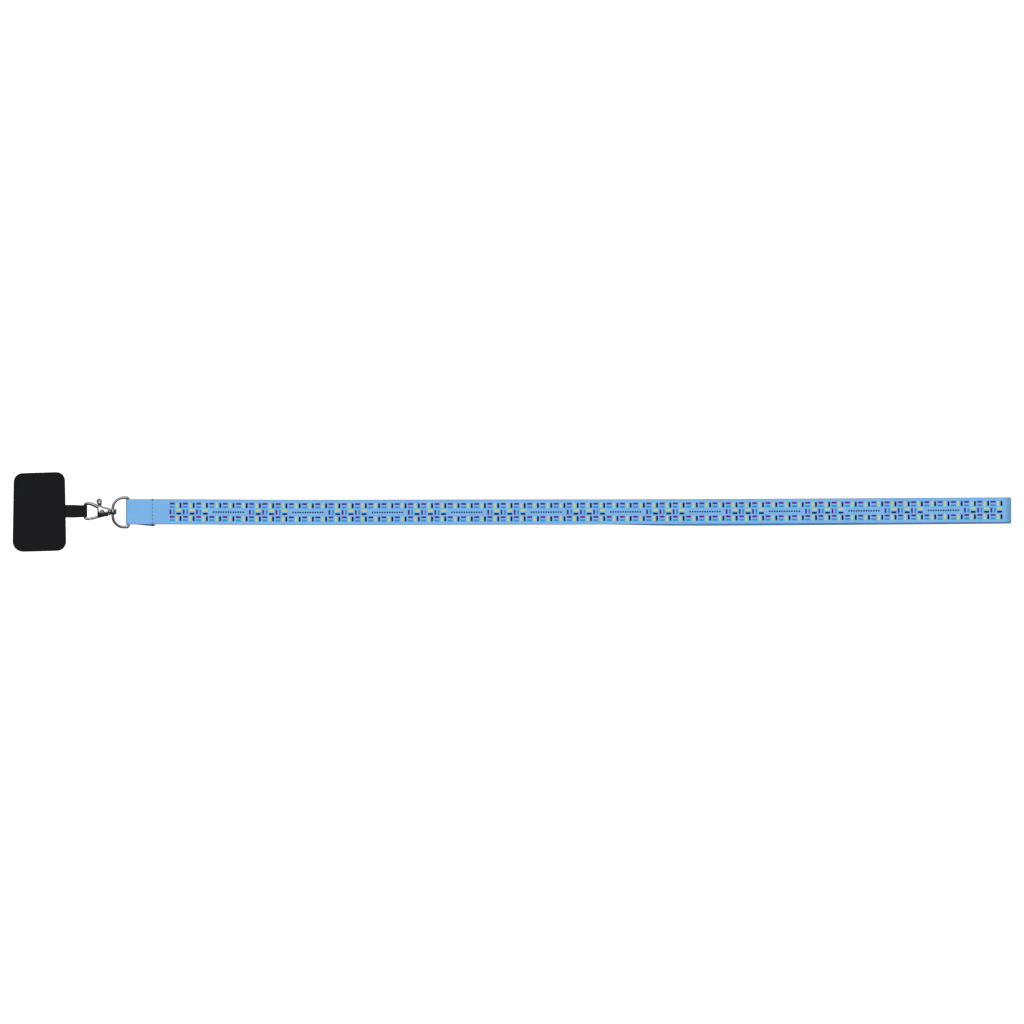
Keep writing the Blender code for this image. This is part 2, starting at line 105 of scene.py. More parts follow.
# Print: square cells in three rows, each with a pair of short bars
CELL = 5.0915 * MM
PRINT_START_X = -263.9 * MM
PRINT_TILES = 63
TILES_BETWEEN_DOTS = 3  # patterned tiles, then the same number with a row of dots
BAR_LENGTH = 3.8 * MM
BAR_WIDTH = 1.48 * MM
PAIR_SPACING = 2.62 * MM
BAR_CORNER = 0.28 * MM
INK_HEIGHT = 0.025 * MM
INK_ROOT = 0.05 * MM
DOT_RADIUS = 0.68 * MM
DOT_PITCH = 1.9 * MM
DOTS = 13

# Metal
WIRE_RADIUS = 1.1 * MM
CLAW_BAR_RADIUS = 0.95 * MM

# Tether
TETHER_THICKNESS = 0.76 * MM
TETHER_NEAR_WIDTH = 9.8 * MM
TETHER_LOOP_WIDTH = 9.3 * MM
LOOP_GAP = 0.24 * MM  # between the webbing and the claw's bar
RIB_PITCH = 0.95 * MM
CORD_PITCH = 0.80 * MM

# Patch
PAD_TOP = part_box("pad_front")[1].z
PAD_MIDDLE_Z = FLEX.z

# Stage
PICTURE_WIDTH = 787.5 * MM
FLOOR_DEPTH = 110 * MM  # more than the reach of whatever hangs down from a joint
FLOOR_REACH = 30.0


# Shapes


def blend_stops(stops, x):
    """A smooth curve through a few (x, value, ...) stops; the ends go on level."""
    xs = [stop[0] for stop in stops]
    if x <= xs[0]:
        return list(stops[0][1:])
    if x >= xs[-1]:
        return list(stops[-1][1:])
    i = max(k for k in range(len(xs) - 1) if xs[k] <= x)
    p1, p2 = stops[i], stops[i + 1]
    p0 = stops[i - 1] if i > 0 else p1
    p3 = stops[i + 2] if i + 2 < len(stops) else p2
    span = p2[0] - p1[0]
    t = (x - p1[0]) / span
    values = []
    for k in range(1, len(p1)):
        slope1 = (p2[k] - p0[k]) / max(p2[0] - p0[0], 1e-12) * span
        slope2 = (p3[k] - p1[k]) / max(p3[0] - p1[0], 1e-12) * span
        h1, h2 = 2 * t**3 - 3 * t**2 + 1, t**3 - 2 * t**2 + t
        h3, h4 = -2 * t**3 + 3 * t**2, t**3 - t**2
        values.append(h1 * p1[k] + h2 * slope1 + h3 * p2[k] + h4 * slope2)
    return values


def smooth_step(low, high, x):
    t = min(max((x - low) / (high - low), 0.0), 1.0)
    return t * t * (3 - 2 * t)


def superellipse(half_u, half_v, power, count):
    """Points round a rounded rectangle: power 2 is an ellipse, higher is squarer."""
    points = []
    for i in range(count):
        angle = 2 * math.pi * (i + 0.5) / count
        c, s = math.cos(angle), math.sin(angle)
        u = math.copysign(abs(c) ** (2 / power), c) * half_u
        v = math.copysign(abs(s) ** (2 / power), s) * half_v
        points.append((u, v))
    return points


def arc(centre, radius, start_degrees, end_degrees, steps):
    start, end = math.radians(start_degrees), math.radians(end_degrees)
    angles = [start + (end - start) * k / steps for k in range(steps + 1)]
    return [centre + Vector((math.cos(a), math.sin(a))) * radius for a in angles]


def rounded_path(corners, closed=False, steps=14):
    """The 2D path through corners of (x, y, radius), with each corner turned by an arc of that radius."""
    count = len(corners)
    path = []
    for i, (x, y, radius) in enumerate(corners):
        here = Vector((x, y))
        if not closed and i in (0, count - 1):
            path.append(here)
            continue
        before = (Vector(corners[i - 1][:2]) - here).normalized()
        after = (Vector(corners[(i + 1) % count][:2]) - here).normalized()
        half_angle = before.angle(after) / 2
        reach = radius / math.tan(half_angle)
        centre = here + (before + after).normalized() * radius / math.sin(half_angle)
        start = here + before * reach - centre
        turn = math.pi - 2 * half_angle
        if before.x * after.y - before.y * after.x > 0:
            turn = -turn
        for k in range(steps + 1):
            angle = turn * k / steps
            c, s = math.cos(angle), math.sin(angle)
            path.append(centre + Vector((start.x * c - start.y * s, start.x * s + start.y * c)))
    return path


def even_points(path, step, closed=False):
    """The same path with points about a step apart."""
    points = list(path) + ([path[0]] if closed else [])
    lengths = [0.0]
    for a, b in zip(points, points[1:]):
        lengths.append(lengths[-1] + (b - a).length)
    count = max(2, round(lengths[-1] / step))
    found, i = [], 0
    for k in range(count if closed else count + 1):
        at = lengths[-1] * k / count
        while i < len(points) - 2 and lengths[i + 1] < at:
            i += 1
        share = (at - lengths[i]) / max(lengths[i + 1] - lengths[i], 1e-12)
        found.append(points[i].lerp(points[i + 1], share))
    return found


def relaxed(path, rounds, closed=False):
    """The same path with its corners eased: each round moves a point halfway to its neighbours' middle."""
    for _ in range(rounds):
        eased = []
        for i, point in enumerate(path):
            if not closed and i in (0, len(path) - 1):
                eased.append(point)
                continue
            eased.append((path[i - 1] + point * 2 + path[(i + 1) % len(path)]) / 4)
        path = eased
    return path


def finish_mesh(mesh, weave=None):
    """Turns the faces outwards. weave gives each point its place on the cloth."""
    if weave:
        flat = [value for place in weave for value in place]
        mesh.attributes.new("weave", "FLOAT_VECTOR", "POINT").data.foreach_set("vector", flat)
    bm = bmesh.new()
    bm.from_mesh(mesh)
    bmesh.ops.recalc_face_normals(bm, faces=bm.faces)
    bm.to_mesh(mesh)
    bm.free()


def rings_mesh(name, rings, closed=False, weave=None):
    """Quads between rings of points, with a face over each end."""
    sides = len(rings[0])
    points = [point for ring in rings for point in ring]
    count = len(rings)
    faces = []
    for i in range(count if closed else count - 1):
        for j in range(sides):
            a, b = i * sides + j, i * sides + (j + 1) % sides
            c, d = ((i + 1) % count) * sides + (j + 1) % sides, ((i + 1) % count) * sides + j
            faces.append((a, b, c, d))
    if not closed:
        faces.append(tuple(range(sides)))
        faces.append(tuple((count - 1) * sides + j for j in reversed(range(sides))))
    mesh = bpy.data.meshes.new(name)
    mesh.from_pydata(points, [], faces)
    finish_mesh(mesh, weave)
    return mesh


def add(name, mesh, material=None, sharp_degrees=None):
    """A smooth-shaded object of a mesh whose points are in the frame's own place."""
    piece = bpy.data.objects.new(name, mesh)
    bpy.context.scene.collection.objects.link(piece)
    mesh.shade_smooth()
    if sharp_degrees:
        mesh.set_sharp_from_angle(angle=math.radians(sharp_degrees))
    if material:
        mesh.materials.clear()
        mesh.materials.append(material)
    return piece


def path_normals(path, closed=False):
    """The left-hand normal at each point of a 2D path."""
    normals = []
    for i, point in enumerate(path):
        before = path[i - 1] if closed or i > 0 else point
        after = path[(i + 1) % len(path)] if closed or i < len(path) - 1 else point
        along = (after - before).normalized()
        normals.append(Vector((-along.y, along.x)))
    return normals


def sweep(name, path, sizes, z, closed=False, power=2.6, sides=28, end_lean=0.0):
    """A bar along a 2D path at height z. sizes gives its half width and height at each share of the path."""
    rings = []
    for i, (point, normal) in enumerate(zip(path, path_normals(path, closed))):
        half_width, half_height = sizes(i / (len(path) - 1))
        lean = end_lean if i == len(path) - 1 else 0.0
        along = Vector((normal.y, -normal.x))
        ring = []
        for u, v in superellipse(half_width, half_height, power, sides):
            flat = point + normal * u + along * (lean * u)
            ring.append((flat.x, flat.y, z + v))
        rings.append(ring)
    return rings_mesh(name, rings, closed)


def turned(name, profile, start, axis, sides=40):
    """A solid of revolution about a line from start along axis. profile is (place along it, radius)."""
    start, axis = Vector(start), Vector(axis).normalized()
    turn = axis.to_track_quat("Z", "Y")
    rings = []
    for place, radius in profile:
        ring = []
        for i in range(sides):
            angle = 2 * math.pi * i / sides
            spoke = turn @ Vector((math.cos(angle), math.sin(angle), 0))
            ring.append(start + axis * place + spoke * radius)
        rings.append(ring)
    return rings_mesh(name, rings)


def upright(name, radius, low, high):
    """A cylinder on the gate pin's line, between two heights over the pin's middle."""
    return turned(name, [(low, radius), (high, radius)], PIVOT, (0, 0, 1))


def made_mesh(obj, name):
    """The mesh of an object with its modifiers applied, after which the object is removed."""
    depsgraph = bpy.context.evaluated_depsgraph_get()
    mesh = bpy.data.meshes.new_from_object(obj.evaluated_get(depsgraph))
    mesh.name = name
    bpy.data.objects.remove(obj, do_unlink=True)
    return mesh


def cast(name, first, added=(), cut=(), voxel=0.11 * MM):
    """One die-cast piece: meshes united, others cut away, then every edge and inner corner eased."""
    base = add(name + "_form", first)
    tools = []
    for operation, meshes in (("UNION", added), ("DIFFERENCE", cut)):
        for mesh in meshes:
            tool = add(name + "_tool", mesh)
            tools.append(tool)
            modifier = base.modifiers.new("join", "BOOLEAN")
            modifier.operation = operation
            modifier.solver = "EXACT"
            modifier.object = tool
    solid = made_mesh(base, name + "_solid")
    for tool in tools:
        bpy.data.objects.remove(tool, do_unlink=True)
    form = add(name + "_form", solid)
    remesh = form.modifiers.new("even", "REMESH")
    remesh.mode = "VOXEL"
    remesh.voxel_size = voxel
    ease = form.modifiers.new("ease", "SMOOTH")
    ease.factor = 0.5
    ease.iterations = 6
    return made_mesh(form, name)


# Materials


def connect(tree, socket, value):
    """Feeds a socket from another one, or sets it to a number or colour."""
    if hasattr(value, "is_linked"):
        tree.links.new(value, socket)
    else:
        socket.default_value = value


class Shader:
    """A Principled material, with short calls for the nodes that shape its colour and surface."""

    def __init__(self, name, colour, roughness, metallic=0.0, specular=0.5):
        self.material = bpy.data.materials.new(name)
        self.material.use_nodes = True
        self.tree = self.material.node_tree
        self.surface = self.tree.nodes["Principled BSDF"]
        self.set("Base Color", (*colour, 1.0))
        self.set("Roughness", roughness)
        self.set("Metallic", metallic)
        self.set("Specular IOR Level", specular)

    def set(self, socket, value):
        self.surface.inputs[socket].default_value = value

    def node(self, kind, **values):
        made = self.tree.nodes.new(kind)
        for key, value in values.items():
            setattr(made, key, value)
        return made

    def put(self, socket, value):
        connect(self.tree, socket, value)

    def place(self):
        """Places on the piece itself, in metres."""
        return self.node("ShaderNodeTexCoord").outputs["Object"]

    def cloth_place(self):
        """(along the strip, across it, 0) in metres."""
        return self.node("ShaderNodeAttribute", attribute_name="weave").outputs["Vector"]

    def maths(self, operation, a, b=0.0):
        made = self.node("ShaderNodeMath", operation=operation)
        self.put(made.inputs[0], a)
        self.put(made.inputs[1], b)
        return made.outputs[0]

    def noise(self, place, size, detail=3.0):
        """Noise from 0 to 1 whose lumps are about that size in metres."""
        made = self.node("ShaderNodeTexNoise")
        self.put(made.inputs["Vector"], place)
        self.put(made.inputs["Scale"], 1 / size)
        self.put(made.inputs["Detail"], detail)
        return made.outputs["Fac"]

    def ranged(self, value, low, high, from_low=0.3, from_high=0.7):
        """The value's range stretched to run from low to high, and held there outside it."""
        made = self.node("ShaderNodeMapRange")
        self.put(made.inputs["Value"], value)
        sockets = ("From Min", "From Max", "To Min", "To Max")
        for socket, number in zip(sockets, (from_low, from_high, low, high)):
            self.put(made.inputs[socket], number)
        return made.outputs["Result"]

    def mix(self, share, first, second):
        made = self.node("ShaderNodeMix", data_type="RGBA")
        self.put(made.inputs["Factor"], share)
        for socket, colour in ((6, first), (7, second)):
            self.put(made.inputs[socket], colour if hasattr(colour, "is_linked") else (*colour, 1.0))
        return made.outputs[2]

    def bump(self, height, distance, strength=1.0, under=None):
        made = self.node("ShaderNodeBump")
        self.put(made.inputs["Height"], height)
        self.put(made.inputs["Distance"], distance)
        self.put(made.inputs["Strength"], strength)
        if under:
            self.put(made.inputs["Normal"], under)
        return made.outputs["Normal"]

    def feed(self, socket, value):
        self.put(self.surface.inputs[socket], value)


def shade(colour, by):
    return tuple(min(1.0, part * by) for part in colour)


def woven(
    name,
    colour,
    along=0.52 * MM,
    across=0.46 * MM,
    roughness=0.72,
    sheen=0.10,
    thread_shade=0.7,
    thread_shade_share=0.16,
    specular=0.2,
    edge=None,
    fold_shade_at=None,
):
    """Closely woven cloth: threads over and under, painted shade between them, and a soft uneven dye.

    along and across are the weave's repeats, gap how dark the painted shade between threads gets and
    thread_shade_share how much of the cloth takes it. edge is the half width where painted shade along the
    selvedge starts, and crease the place of a hard fold, round which painted shade darkens the cloth.
    """
    cloth = Shader(name, colour, roughness, specular=specular)
    place = cloth.cloth_place()
    split = cloth.node("ShaderNodeSeparateXYZ")
    cloth.put(split.inputs[0], place)
    warp = cloth.maths("SINE", cloth.maths("MULTIPLY", split.outputs[0], 2 * math.pi / along))
    weft = cloth.maths("SINE", cloth.maths("MULTIPLY", split.outputs[1], 2 * math.pi / across))
    threads = cloth.ranged(cloth.maths("MULTIPLY", warp, weft), 0.0, 1.0, -1.0, 1.0)
    fuzz = cloth.noise(place, 0.25 * MM)
    dye = cloth.noise(place, 14 * MM)
    tone = cloth.mix(cloth.ranged(dye, 0.0, 1.0), shade(colour, 0.955), shade(colour, 1.045))
    # painted shade between the threads, where the weave dips
    tone = cloth.mix(cloth.ranged(threads, thread_shade_share, 0.0, 0.05, 0.75), tone, shade(colour, thread_shade))
    # painted shade along the selvedges, where the rounded edges turn away from the light
    if edge:
        selvedge_shade = cloth.ranged(cloth.maths("ABSOLUTE", split.outputs[1]), 0.0, 0.75, edge, edge + 0.25 * MM)
        tone = cloth.mix(selvedge_shade, tone, shade(colour, 0.42))
    # painted shade round the far fold, where the cloth turns down away from the light
    if fold_shade_at:
        off = cloth.maths("ABSOLUTE", cloth.maths("SUBTRACT", split.outputs[0], fold_shade_at))
        tone = cloth.mix(cloth.ranged(off, 0.9, 0.0, 2.0 * MM, 4.6 * MM), tone, shade(colour, 0.64))
    cloth.feed("Base Color", tone)
    cloth.feed("Roughness", cloth.ranged(fuzz, roughness - 0.06, roughness + 0.08))
    height = cloth.maths("ADD", threads, cloth.maths("MULTIPLY", fuzz, 0.35))
    cloth.feed("Normal", cloth.bump(height, 0.05 * MM, 0.6))
    cloth.set("Sheen Weight", sheen)
    cloth.set("Sheen Roughness", 0.4)
    return cloth.material


def plated(name, colour, roughness):
    """Nickel plate over a casting: a faint orange peel, fine handling scratches and a little dulling."""
    metal = Shader(name, colour, roughness, metallic=1.0)
    place = metal.place()
    peel = metal.noise(place, 1.3 * MM, 2.0)
    stretched = metal.node("ShaderNodeMapping")
    metal.put(stretched.inputs["Vector"], place)
    stretched.inputs["Rotation"].default_value = (0.3, 0.2, 0.6)
    stretched.inputs["Scale"].default_value = (1.0, 14.0, 14.0)
    scratches = metal.noise(stretched.outputs[0], 2.2 * MM, 4.0)
    dull = metal.noise(place, 4 * MM)
    tone = metal.mix(metal.ranged(dull, 0.0, 1.0), shade(colour, 0.93), shade(colour, 1.03))
    metal.feed("Base Color", tone)
    worn = metal.ranged(scratches, roughness, roughness + 0.10, 0.5, 0.8)
    metal.feed("Roughness", worn)
    coarse = metal.bump(peel, 0.02 * MM, 0.5)
    metal.feed("Normal", metal.bump(scratches, 0.004 * MM, 0.6, coarse))
    return metal.material


def leatherette(name, colour, roughness):
    """Matte coated sheet with a fine pebble grain and painted shade in its grooves. Painted shade along the
    rim goes by the inset from it.
    """
    sheet = Shader(name, colour, roughness, specular=0.15)
    place = sheet.place()
    cells = sheet.node("ShaderNodeTexVoronoi", feature="DISTANCE_TO_EDGE")
    sheet.put(cells.inputs["Vector"], place)
    sheet.put(cells.inputs["Scale"], 1 / (0.75 * MM))
    pebble = sheet.ranged(cells.outputs["Distance"], 0.0, 1.0, 0.0, 0.25)
    fine = sheet.noise(place, 0.2 * MM)
    cloud = sheet.noise(place, 26 * MM)
    warmer = shade((colour[2], colour[1], colour[2]), 0.95)
    tone = sheet.mix(sheet.ranged(cloud, 0.0, 1.0), warmer, shade(colour, 1.12))
    # painted shade in the grooves between the grain's pebbles
    tone = sheet.mix(sheet.ranged(pebble, 0.3, 0.0, 0.0, 0.7), tone, shade(colour, 0.55))
    split = sheet.node("ShaderNodeSeparateXYZ")
    sheet.put(split.inputs[0], sheet.cloth_place())
    # painted shade along the rolled rim, darkest at the very edge
    painted = sheet.ranged(split.outputs[0], 0.9, 0.0, 0.45 * MM, 0.95 * MM)
    sheet.feed("Base Color", sheet.mix(painted, tone, shade(colour, 0.15)))
    sheet.feed("Roughness", sheet.ranged(fine, roughness - 0.06, roughness + 0.06))
    height = sheet.maths("ADD", pebble, sheet.maths("MULTIPLY", fine, 0.4))
    sheet.feed("Normal", sheet.bump(height, 0.09 * MM, 0.8))
    return sheet.material


SKY_BLUE = (0.176, 0.400, 0.705)
# The ribbon's cloth, with painted shade along its selvedges and round its far fold
CLOTH = woven(
    "ribbon_cloth", SKY_BLUE, edge=RIBBON_WIDTH / 2 - 0.55 * MM, fold_shade_at=FAR_FOLD_X - LOWER_END_X
)
INKS = {
    "purple": woven("ink_purple", (0.100, 0.012, 0.225), sheen=0.04),
    "teal": woven("ink_teal", (0.020, 0.255, 0.570), sheen=0.04),
    "yellow": woven("ink_yellow", (0.490, 0.535, 0.205), sheen=0.04),
    "navy": woven("ink_navy", (0.002, 0.012, 0.075), sheen=0.02, specular=0.1),
}
THREAD = woven("seam_thread", (0.062, 0.165, 0.330), along=0.5 * MM, across=0.5 * MM)
# Black webbing with deep painted shade between its ribs
WEBBING = woven(
    "black_webbing",
    (0.0155, 0.0155, 0.0160),
    along=RIB_PITCH,
    across=2 * CORD_PITCH,
    roughness=0.85,
    sheen=0.0,
    thread_shade=0.25,
    thread_shade_share=0.95,
    specular=0.1,
)
PLATE = plated("nickel_plate", (0.80, 0.80, 0.81), 0.10)
STEEL_WIRE = plated("spring_wire", (0.55, 0.55, 0.57), 0.22)
SHEET = leatherette("patch_sheet", (0.0082, 0.0089, 0.0102), 0.78)


# The ribbon


def upper_y(x):
    return blend_stops(UPPER_LEG_PLACES, x)[0]


def lower_y(x):
    return upper_y(x) - blend_stops(LOWER_LEG_SHIFTS, x)[0]


def lower_z(x):
    """The lower leg's middle: sewn between the other layers at its end, and on the ground from there on."""
    return SECOND_Z + (FIRST_Z - SECOND_Z) * smooth_step(STEP_X, SPLIT_X, x)


def upper_z(x):
    """The upper leg's middle: over the sewn layers, then on the lower leg with a little air between."""
    resting = THIRD_Z + (SECOND_Z - THIRD_Z) * smooth_step(STEP_X, SPLIT_X, x)
    from_ends = smooth_step(SPLIT_X, SPLIT_X + 40 * MM, x)
    from_ends *= 1 - smooth_step(FAR_FOLD_X - 60 * MM, FAR_FOLD_X, x)
    wave = math.sin(2 * math.pi * x / LONG_WAVE) + 0.6 * math.sin(2 * math.pi * x / SHORT_WAVE + 1.0)
    air = (0.30 + 0.17 * wave) * MM
    fold_lift = 0.22 * MM * smooth_step(FAR_FOLD_X - 30 * MM, FAR_FOLD_X, x)
    return resting + from_ends * air + fold_lift


def ribbon_path():
    """The strip's middle line in 3D, from the lower leg's sewn-in end to the end folded round the ring."""
    fold_low, fold_high = lower_z(FAR_FOLD_X), upper_z(FAR_FOLD_X)
    fold_radius = (fold_high - fold_low) / 2
    fold_x = FAR_FOLD_X - HALF_RIBBON - FOLD_REACH
    path = []
    run = fold_x - LOWER_END_X
    steps = 260
    for k in range(steps):
        x = LOWER_END_X + run * k / steps
        path.append(Vector((x, lower_y(x), lower_z(x))))
    turn = arc(Vector((0, 0)), 1.0, -90, 90, 22)
    for k, point in enumerate(turn):
        share = smooth_step(0, 1, k / (len(turn) - 1))
        y = lower_y(fold_x) * (1 - share) + upper_y(fold_x) * share
        z = (fold_low + fold_high) / 2 + point.y * fold_radius
        path.append(Vector((fold_x + point.x * FOLD_REACH, y, z)))
    over_x = LOWER_END_X + 6 * MM
    for k in range(1, steps + 1):
        x = fold_x + (over_x - fold_x) * k / steps
        path.append(Vector((x, upper_y(x), upper_z(x))))
    radius = RING_BAR.z - FIRST_Z
    top_z = RING_BAR.z + radius
    start_z = upper_z(over_x)
    for k in range(1, 17):
        share = k / 17
        x = over_x + (RING_BAR.x - over_x) * share
        path.append(Vector((x, upper_y(x), start_z + (top_z - start_z) * smooth_step(0, 1, share))))
    around = arc(Vector((RING_BAR.x, RING_BAR.z)), radius, 90, 270, 28)
    path += [Vector((point.x, upper_y(RING_BAR.x), point.y)) for point in around]
    under = FOLD_BACK_END_X - RING_BAR.x
    for k in range(1, 13):
        share = k / 12
        shift = FOLD_BACK_SHIFT * smooth_step(0.15, 0.9, share)
        path.append(Vector((RING_BAR.x + under * share, upper_y(RING_BAR.x) - shift, FIRST_Z)))
    return path


def ribbon_section(seam):
    """Across the strip: flat faces, round selvedges with a fuller edge thread, and a pressed seam."""
    edge = HALF_RIBBON
    flat = RIBBON_WIDTH / 2 - edge
    across = [flat * (-1 + 2 * k / 22) for k in range(23)]
    points = []
    for side in (1, -1):
        for u in across if side > 0 else reversed(across):
            fuller = 0.05 * MM * math.exp(-(((abs(u) - flat + 0.15 * MM) / (0.35 * MM)) ** 2))
            points.append((u, side * (HALF_RIBBON + fuller - SEAM_DEPTH * seam)))
        for k in range(1, 6):
            angle = math.pi * k / 6
            points.append((side * (flat + edge * math.sin(angle)), side * edge * math.cos(angle)))
    return points


def strip_mesh(name, path, section_at):
    """A band along a 3D path, and its length. section_at(x, along) gives its (across, outwards) points."""
    rings, weave = [], []
    along = 0.0
    for i, point in enumerate(path):
        before, after = path[max(i - 1, 0)], path[min(i + 1, len(path) - 1)]
        forward = Vector((after.x - before.x, 0, after.z - before.z)).normalized()
        side = Vector((0, 1, 0))
        out = side.cross(forward)
        if i:
            along += (point - path[i - 1]).length
        section = section_at(point.x, along)
        rings.append([point + side * u + out * v for u, v in section])
        weave += [(along, u, 0.0) for u, v in section]
    return rings_mesh(name, rings, weave=weave), along


def build_ribbon():
    def section_at(x, _along):
        return ribbon_section(math.exp(-(((x - SEAM_X) / (0.40 * MM)) ** 2)))

    mesh, length = strip_mesh("ribbon_strip", ribbon_path(), section_at)
    ribbon = add("ribbon_strip", mesh, CLOTH, 50)
    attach(ribbon, "strap")
    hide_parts("ribbon", "ribbon_ring_fold")
    return ribbon, length


# The print


def leg_frame(x, upper):
    """A place on a leg's printed face: its point, and the directions along, across and out of the cloth."""
    place_y, place_z = (upper_y, upper_z) if upper else (lower_y, lower_z)
    near = 0.5 * MM
    rise = (place_z(x + near) - place_z(x - near)) / (2 * near)
    drift = (place_y(x + near) - place_y(x - near)) / (2 * near)
    forward = Vector((1, drift, rise)).normalized()
    side = (Vector((0, 1, 0)) - forward * forward.y).normalized()
    out = forward.cross(side) if upper else side.cross(forward)
    return Vector((x, place_y(x), place_z(x))), forward, side, out


def bar_outline(length, width):
    signs = ((1, 1), (-1, 1), (-1, -1), (1, -1))
    corners = [(a * length / 2, b * width / 2, BAR_CORNER) for a, b in signs]
    return rounded_path(corners, closed=True, steps=3)


def disc_outline(radius, sides=14):
    angles = [2 * math.pi * i / sides for i in range(sides)]
    return [Vector((math.cos(a), math.sin(a))) * radius for a in angles]


class InkLayer:
    """All marks of one colour, as thin closed slabs that stand a hair above the cloth."""

    def __init__(self, colour):
        self.colour = colour
        self.points, self.faces, self.weave = [], [], []

    def mark(self, x, across, outline, upper):
        origin, forward, side, out = leg_frame(x, upper)
        centre = origin + side * across + out * HALF_RIBBON
        first, count = len(self.points), len(outline)
        for height in (INK_HEIGHT, -INK_ROOT):
            for point in outline:
                self.points.append(centre + forward * point.x + side * point.y + out * height)
                self.weave.append((x + point.x, across + point.y, 0.0))
        self.faces.append(tuple(range(first, first + count)))
        self.faces.append(tuple(range(first + 2 * count - 1, first + count - 1, -1)))
        for i in range(count):
            j = (i + 1) % count
            self.faces.append((first + i, first + count + i, first + count + j, first + j))

    def piece(self):
        name = f"print_{self.colour}"
        mesh = bpy.data.meshes.new(name)
        mesh.from_pydata(self.points, [], self.faces)
        finish_mesh(mesh, self.weave)
        piece = add(name, mesh, INKS[self.colour], 40)
        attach(piece, "strap")
        return piece


def build_print():
    layers = {colour: InkLayer(colour) for colour in INKS}
    lying = bar_outline(BAR_LENGTH, BAR_WIDTH)
    standing = bar_outline(BAR_WIDTH, BAR_LENGTH)
    dot = disc_outline(DOT_RADIUS)
    half = PAIR_SPACING / 2

    def pair(x, row, upright, colours, upper):
        for sign, colour in zip((-1, 1) if upright else (1, -1), colours):
            dx, dy = (sign * half, 0) if upright else (0, sign * half)
            layers[colour].mark(x + dx, row + dy, standing if upright else lying, upper)

    for upper in (True, False):
        for tile in range(PRINT_TILES):
            left = PRINT_START_X + (2 * tile + 0.5) * CELL
            right = left + CELL
            for row in (CELL, -CELL):
                pair(left, row, False, ("purple", "teal"), upper)
                pair(right, row, True, ("yellow", "navy"), upper)
            if tile // TILES_BETWEEN_DOTS % 2 == 0:
                pair(left, 0, True, ("purple", "teal"), upper)
                pair(right, 0, False, ("yellow", "navy"), upper)
            elif tile % TILES_BETWEEN_DOTS == 0:
                middle = left - CELL / 2 + TILES_BETWEEN_DOTS * CELL
                for k in range(DOTS):
                    x = middle + (k - (DOTS - 1) / 2) * DOT_PITCH
                    layers["navy"].mark(x, 0, dot, upper)
    return [layer.piece() for layer in layers.values()]


# The seam's stitches


def stitch_tube(path, radius_at, sides=10):
    """A tube along a path across the ribbon, whose radius goes by the share of the way along it."""
    rings = []
    for i, point in enumerate(path):
        along = (path[min(i + 1, len(path) - 1)] - path[max(i - 1, 0)]).normalized()
        side = Vector((1, 0, 0))
        up = side.cross(along)
        radius = radius_at(i / (len(path) - 1))
        ring = []
        for k in range(sides):
            angle = 2 * math.pi * k / sides
            ring.append(point + side * (radius * math.cos(angle)) + up * (radius * math.sin(angle)))
        rings.append(ring)
    weave = [(i * 0.15 * MM, 0.0, 0.0) for i in range(len(rings)) for _ in range(sides)]
    return rings_mesh("stitch", rings, weave=weave)


def joined(name, meshes):
    """Several meshes as one, each still a closed body."""
    bm = bmesh.new()
    for mesh in meshes:
        bm.from_mesh(mesh)
        bpy.data.meshes.remove(mesh)
    made = bpy.data.meshes.new(name)
    bm.to_mesh(made)
    bm.free()
    return made


def edge_stitch(x, side, radius):
    """One of the tacks that end the row, round the ribbon's edge from its top layer to the bottom one."""
    edge = RIBBON_WIDTH / 2 - 0.75 * MM
    low = -0.02 * MM
    high = upper_z(SEAM_X) + HALF_RIBBON + 0.12 * MM
    under_edge = edge + (0 if side > 0 else UNDER_SEAM_SHIFT)
    corners = (
        (edge, high - 0.3 * MM),
        (edge + 0.2 * MM, high),
        (edge + 0.7 * MM, high),
        (edge + 0.92 * MM, high - 0.25 * MM),
        (under_edge + 0.92 * MM, low + 0.35 * MM),
        (under_edge + 0.7 * MM, low),
        (under_edge, low + 0.2 * MM),
    )
    line = [Vector((x, upper_y(SEAM_X) + side * across, z)) for across, z in corners]
    path = relaxed(even_points(line, 0.2 * MM), 3)
    return stitch_tube(path, lambda s: radius * (1 - 0.4 * abs(2 * s - 1) ** 6))


def build_seam():
    pitch, length, radius = 2.75 * MM, 1.50 * MM, 0.24 * MM
    count = int(RIBBON_WIDTH / pitch)
    stitches = []
    for upper in (True, False):
        face_z = upper_z(SEAM_X) + HALF_RIBBON if upper else 0.0
        middle_y = upper_y(SEAM_X) - (0 if upper else UNDER_SEAM_SHIFT)
        sign = 1 if upper else -1
        for k in range(count):
            centre = Vector((SEAM_X, middle_y + (k - (count - 1) / 2) * pitch, face_z))
            path = []
            for i in range(13):
                share = -1 + 2 * i / 12
                lift = (0.15 if upper else 0.02) - 0.42 * abs(share) ** 4
                path.append(centre + Vector((0, share * length / 2, sign * (lift * MM - SEAM_DEPTH * 0.6))))
            stitches.append(stitch_tube(path, lambda s: radius * (1 - 0.35 * abs(2 * s - 1) ** 3)))
    for side in (1, -1):
        stitches += [edge_stitch(SEAM_X + dx * MM, side, 0.27 * MM) for dx in (-0.5, 0.0, 0.5)]
    seam = add("seam_stitches", joined("seam_stitches", stitches), THREAD)
    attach(seam, "strap")
    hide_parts("ribbon_seam")
    return seam


# Metal


